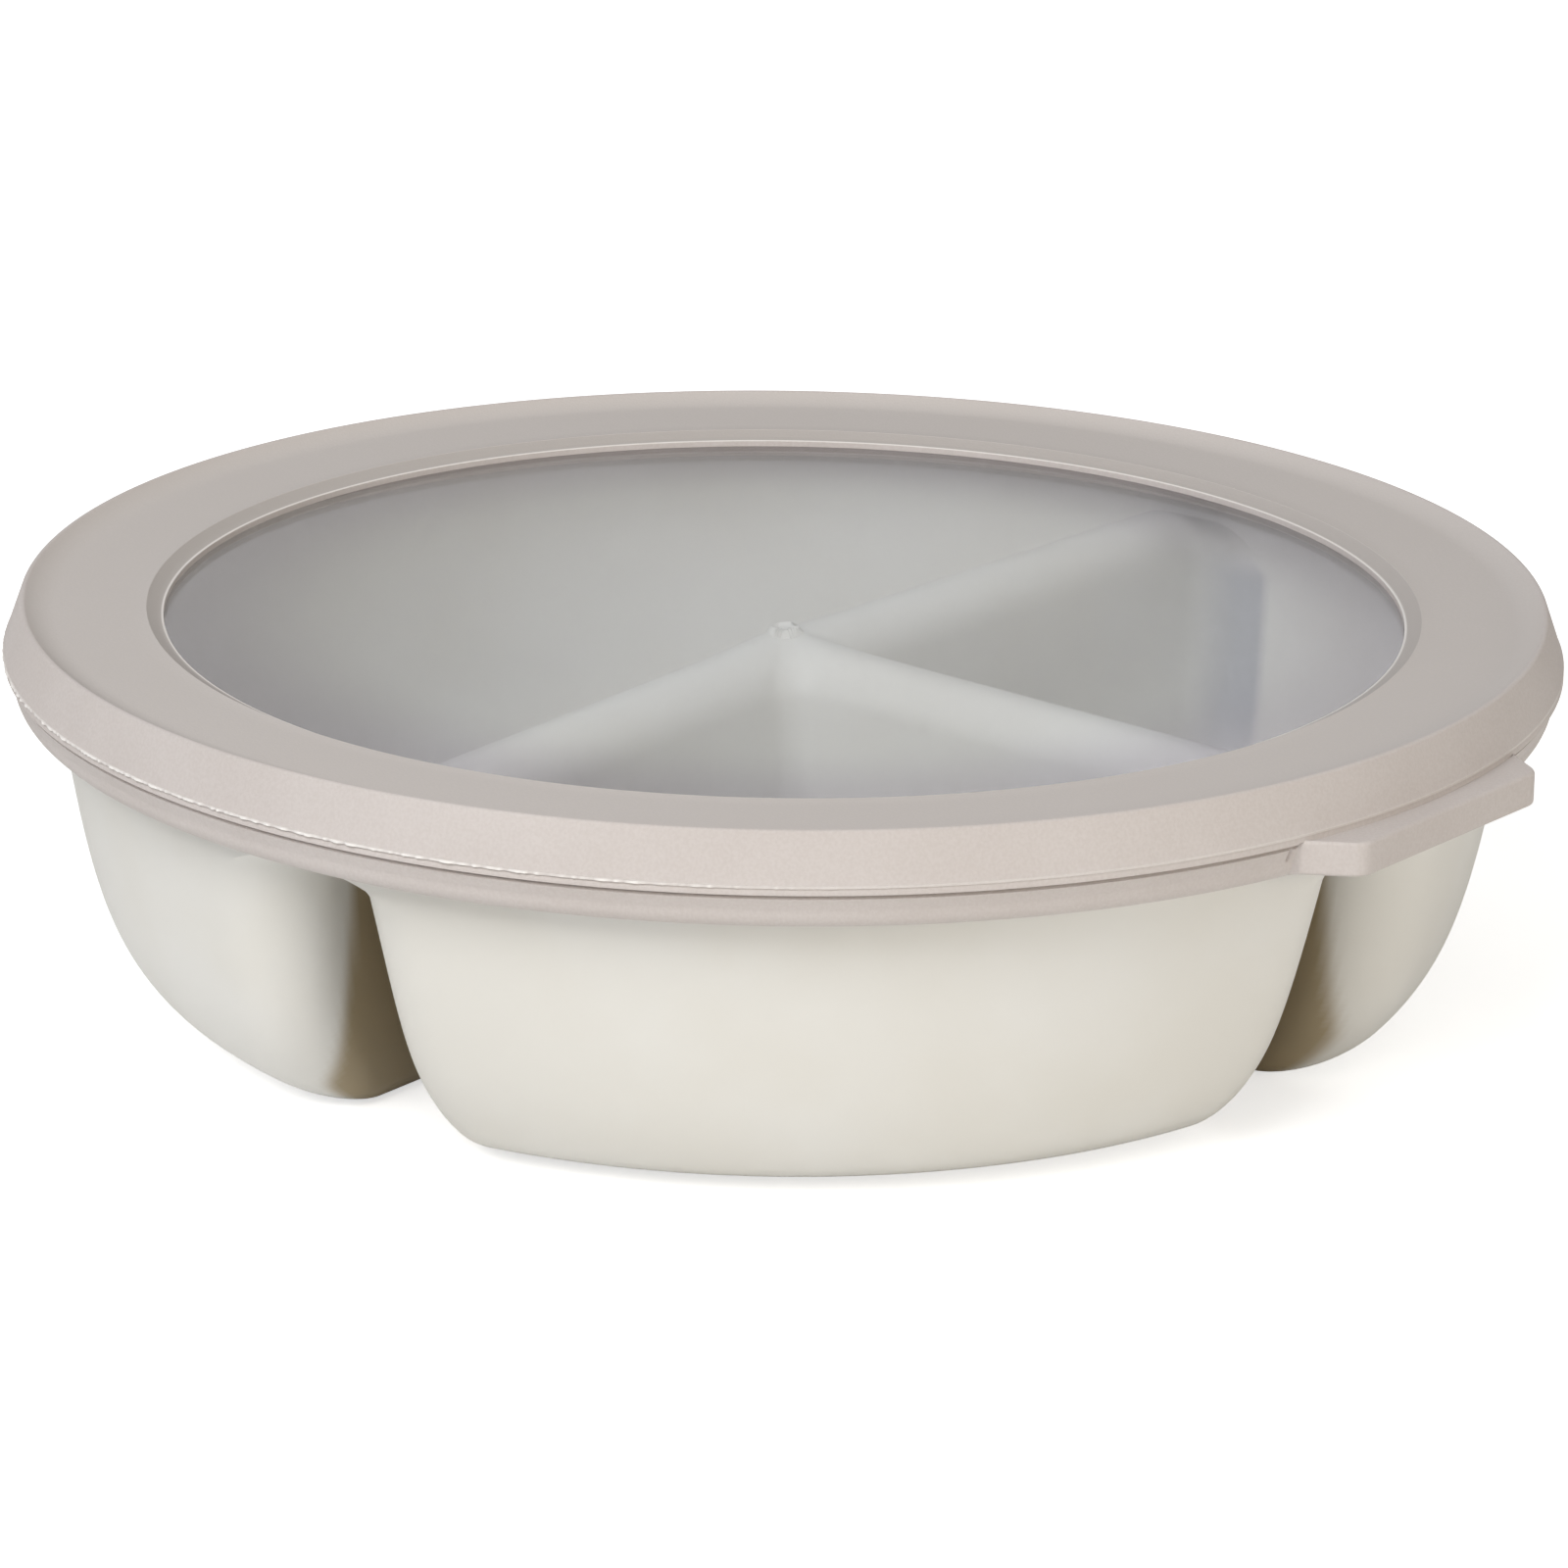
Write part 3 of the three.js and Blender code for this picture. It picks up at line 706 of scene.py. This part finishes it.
class Wire:
    # one value of a shader: sums, differences and products of wires add Math nodes
    def __init__(self, paint, socket):
        self.paint = paint
        self.socket = socket

    def math(self, operation, first, second):
        return self.paint.node("ShaderNodeMath", {"operation": operation}, {0: first, 1: second})

    def __add__(self, other):
        return self.math("ADD", self, other)

    def __radd__(self, other):
        return self.math("ADD", other, self)

    def __sub__(self, other):
        return self.math("SUBTRACT", self, other)

    def __rsub__(self, other):
        return self.math("SUBTRACT", other, self)

    def __mul__(self, other):
        return self.math("MULTIPLY", self, other)

    def __rmul__(self, other):
        return self.math("MULTIPLY", other, self)


class Paint:
    # the node tree of a material or of the world
    def __init__(self, owner):
        owner.use_nodes = True
        self.tree = owner.node_tree
        self.tree.nodes.clear()

    def node(self, kind, settings, sockets, output=0):
        made = self.tree.nodes.new(kind)
        for name, value in settings.items():
            setattr(made, name, value)
        for key, value in sockets.items():
            if isinstance(value, Wire):
                self.tree.links.new(value.socket, made.inputs[key])
            else:
                made.inputs[key].default_value = value
        return Wire(self, made.outputs[output]) if made.outputs else made

    def noise(self, place, scale, detail=2):
        return self.node("ShaderNodeTexNoise", {}, {"Vector": place, "Scale": scale, "Detail": detail})

    def mixColour(self, share, first, second):
        return self.node("ShaderNodeMix", {"data_type": "RGBA"}, {0: share, 6: first, 7: second}, 2)

    def ramp(self, value, low, high):
        eased = {"interpolation_type": "SMOOTHSTEP"}
        return self.node("ShaderNodeMapRange", eased, {0: value, 1: low, 2: high})

    def mark(self, name):
        return self.node("ShaderNodeAttribute", {"attribute_name": name}, {}, "Fac")


def colour(red, green, blue):
    # a screen colour of 0 to 255 as scene-linear numbers
    values = np.array([red, green, blue]) / 255
    linear = np.where(values <= 0.04045, values / 12.92, ((values + 0.055) / 1.055) ** 2.4)
    return (*(float(v) for v in linear), 1.0)


def finish(piece, name, paintIt, spec):
    material = bpy.data.materials.new(name)
    paint = Paint(material)
    place = paint.node("ShaderNodeTexCoord", {}, {}, "Object")
    shader = paintIt(paint, place, spec)
    paint.node("ShaderNodeOutputMaterial", {}, {"Surface": shader})
    piece.data.materials.clear()
    piece.data.materials.append(material)


# bowl plastic: satin ivory with a faint moulded grain and slow clouds of gloss, and painted shade: browner
# in the folds and greyer in the pockets' corners

ivory = dict(
    pale=colour(231, 230, 226),
    deep=colour(227, 225, 219),
    # painted shade: browner in the outer folds, bluish grey in the pockets' inner corners
    hollow=colour(168, 153, 125),
    corner=colour(176, 178, 185),
    cloudScale=28,
    cloudRange=(0.35, 0.65),
    grainScale=3200,
    grainDepth=0.000012,
    grainStrength=0.5,
    ior=1.48,
    rough=0.4,
    roughCloud=0.08,
    roughGrain=0.06,
)


def paintIvory(paint, place, spec):
    cloud = paint.noise(place, spec["cloudScale"], 3)
    grain = paint.noise(place, spec["grainScale"], 2)
    base = paint.mixColour(paint.ramp(cloud, *spec["cloudRange"]), spec["pale"], spec["deep"])
    # painted shade in the folds, then in the corners
    base = paint.mixColour(paint.mark("foldShade"), base, spec["hollow"])
    base = paint.mixColour(paint.mark("corner"), base, spec["corner"])
    rough = spec["rough"] + spec["roughCloud"] * (cloud - 0.5) + spec["roughGrain"] * (grain - 0.5)
    grit = {"Strength": spec["grainStrength"], "Distance": spec["grainDepth"], "Height": grain}
    bump = paint.node("ShaderNodeBump", {}, grit)
    sockets = {"Base Color": base, "Roughness": rough, "Normal": bump, "IOR": spec["ior"]}
    return paint.node("ShaderNodeBsdfPrincipled", {}, sockets)


finish(bowl, "satin_ivory", paintIvory, ivory)


# soft rim: matte taupe with a fine grain, and painted shade on the dished top, darker on its bevel; the
# flash on the moulding line is thin and pale, with a painted highlight along the line and on the lip's edge

taupe = dict(
    base=colour(206, 199, 196),
    shade=colour(198, 190, 186),
    # painted shade on the dished top and, darker, on its bevel; pale is the flash's colour and the painted
    # highlight
    topShadeColour=colour(202, 196, 192),
    bevel=colour(184, 178, 174),
    pale=colour(247, 244, 241),
    cloudScale=40,
    cloudRange=(0.35, 0.65),
    cloudShade=0.4,
    speckleRange=(0.3, 0.7),
    speckleShade=0.6,
    shadeDrop=0.1,
    topShadeEven=0.55,  # share of the top's painted shade that the speckle leaves alone
    grainScale=2500,
    grainDepth=0.00005,
    grainStrength=0.6,
    ior=1.45,
    rough=0.6,
    roughGrain=0.12,
    roughCloud=0.06,
)


def paintTaupe(paint, place, spec):
    cloud = paint.noise(place, spec["cloudScale"], 3)
    grain = paint.noise(place, spec["grainScale"], 3)
    speckle, top, even = paint.ramp(grain, *spec["speckleRange"]), paint.mark("top"), spec["topShadeEven"]
    clouded = paint.ramp(cloud, *spec["cloudRange"])
    shade = spec["speckleShade"] * speckle + spec["cloudShade"] * clouded - spec["shadeDrop"]
    base = paint.mixColour(shade, spec["base"], spec["shade"])
    # painted shade on the dished top, darker on the bevel; then the pale flash with its painted highlight
    base = paint.mixColour(top * (even + (1 - even) * speckle), base, spec["topShadeColour"])
    base = paint.mixColour(paint.ramp(top, 1, 2), base, spec["bevel"])
    base = paint.mixColour(paint.mark("flash"), base, spec["pale"])
    rough = spec["rough"] + spec["roughGrain"] * (grain - 0.5) + spec["roughCloud"] * (cloud - 0.5)
    grit = {"Strength": spec["grainStrength"], "Distance": spec["grainDepth"], "Height": grain}
    bump = paint.node("ShaderNodeBump", {}, grit)
    sockets = {"Base Color": base, "Roughness": rough, "Normal": bump, "IOR": spec["ior"]}
    return paint.node("ShaderNodeBsdfPrincipled", {}, sockets)


finish(rim, "soft_taupe", paintTaupe, taupe)


# window: clear plastic with a faint grey tint, a painted darker lilac shade towards the edge, and a very
# light haze; the lamps' light passes through it, lightly tinted

clear = dict(
    tint=(0.71, 0.715, 0.72, 1),
    # painted shade: a darker lilac tint near the window's edge
    edgeShadeTint=(0.595, 0.582, 0.62, 1),
    edgeFrom=0.056,  # m from the axis
    edgeTo=0.08,
    shadow=(0.88, 0.89, 0.9, 1),
    hazeScale=55,
    ior=1.49,
    rough=0.03,
    roughHaze=0.03,
)


def paintClear(paint, place, spec):
    haze = paint.noise(place, spec["hazeScale"], 3)
    rough = spec["rough"] + spec["roughHaze"] * (haze - 0.5)
    centre = (axisX * mm, 0, windowForm["top"] * mm)
    distance = paint.node("ShaderNodeVectorMath", {"operation": "DISTANCE"}, {0: place, 1: centre}, "Value")
    # painted shade: the tint turns darker and lilac towards the edge
    outwards = paint.ramp(distance, spec["edgeFrom"], spec["edgeTo"])
    tint = paint.mixColour(outwards, spec["tint"], spec["edgeShadeTint"])
    sockets = {"Base Color": tint, "Roughness": rough, "IOR": spec["ior"], "Transmission Weight": 1.0}
    glass = paint.node("ShaderNodeBsdfPrincipled", {}, sockets)
    through = paint.node("ShaderNodeBsdfTransparent", {}, {"Color": spec["shadow"]})
    shadow = paint.node("ShaderNodeLightPath", {}, {}, "Is Shadow Ray")
    return paint.node("ShaderNodeMixShader", {}, {0: shadow, 1: glass, 2: through})


finish(window, "clear_window", paintClear, clear)
print("finishes painted")


# floor, world and lamps, in metres

studio = dict(
    floorHalf=4.0,
    floorDrop=2e-5,  # m: the floor lies just under the feet
    floorColour=(0.92, 0.92, 0.915, 1),
    floorLift=0.62,  # seen by the camera only, straight or through the window
    ambient=0.33,
    aimHeight=0.03,  # m: the lamps face this point above the floor
)

key = dict(
    name="key",
    azimuth=6,
    elevation=44,
    distance=1.5,
    width=1.0,
    height=0.8,
    watts=14.2,
    tint=(1, 0.995, 0.985),
)

fill = dict(
    name="fill",
    azimuth=84,
    elevation=13,
    distance=1.7,
    width=1.0,
    height=0.6,
    watts=6.4,
    tint=(1, 0.89, 0.72),
)

back = dict(
    name="back",
    azimuth=236,
    elevation=52,
    distance=1.6,
    width=0.8,
    height=0.8,
    watts=1.8,
    tint=(1, 1, 1),
)


def seenDirectly(paint):
    straight = paint.node("ShaderNodeLightPath", {}, {}, "Is Camera Ray")
    through = paint.node("ShaderNodeLightPath", {}, {}, "Is Transmission Ray")
    return straight.math("MAXIMUM", straight, through)


def makeFloor(spec):
    half, low = spec["floorHalf"], -spec["floorDrop"]
    mesh = bpy.data.meshes.new("floor")
    corners = [(-half, -half, low), (half, -half, low), (half, half, low), (-half, half, low)]
    mesh.from_pydata(corners, [], [(0, 1, 2, 3)])
    floor = bpy.data.objects.new("floor", mesh)
    scene.collection.objects.link(floor)
    material = bpy.data.materials.new("pale_floor")
    paint = Paint(material)
    card = paint.node("ShaderNodeBsdfDiffuse", {}, {"Color": spec["floorColour"]})
    strength = seenDirectly(paint) * spec["floorLift"]
    lift = paint.node("ShaderNodeEmission", {}, {"Color": (1, 1, 1, 1), "Strength": strength})
    both = paint.node("ShaderNodeAddShader", {}, {0: card, 1: lift})
    paint.node("ShaderNodeOutputMaterial", {}, {"Surface": both})
    mesh.materials.append(material)


def makeWorld(spec):
    world = bpy.data.worlds.new("studio")
    scene.world = world
    paint = Paint(world)
    level = spec["ambient"] + (1 - spec["ambient"]) * seenDirectly(paint)
    sky = paint.node("ShaderNodeBackground", {}, {"Color": (1, 1, 1, 1), "Strength": level})
    paint.node("ShaderNodeOutputWorld", {}, {"Surface": sky})


def makeLamp(spec):
    # a soft rectangle that faces the bowl, unseen by the camera and through the window
    turn, tilt = math.radians(spec["azimuth"]), math.radians(spec["elevation"])
    towards = Vector((math.sin(turn) * math.cos(tilt), -math.cos(turn) * math.cos(tilt), math.sin(tilt)))
    lamp = bpy.data.lights.new(spec["name"], "AREA")
    lamp.shape = "RECTANGLE"
    lamp.size, lamp.size_y = spec["width"], spec["height"]
    lamp.energy = spec["watts"]
    lamp.color = spec["tint"]
    holder = bpy.data.objects.new(spec["name"], lamp)
    holder.location = Vector((0, 0, studio["aimHeight"])) + spec["distance"] * towards
    holder.rotation_euler = towards.to_track_quat("Z", "Y").to_euler()
    holder.visible_camera = False
    holder.visible_transmission = False
    scene.collection.objects.link(holder)


makeFloor(studio)
makeWorld(studio)
for lamp in (key, fill, back):
    makeLamp(lamp)
scene.view_settings.view_transform = "Standard"
print("stage lit")
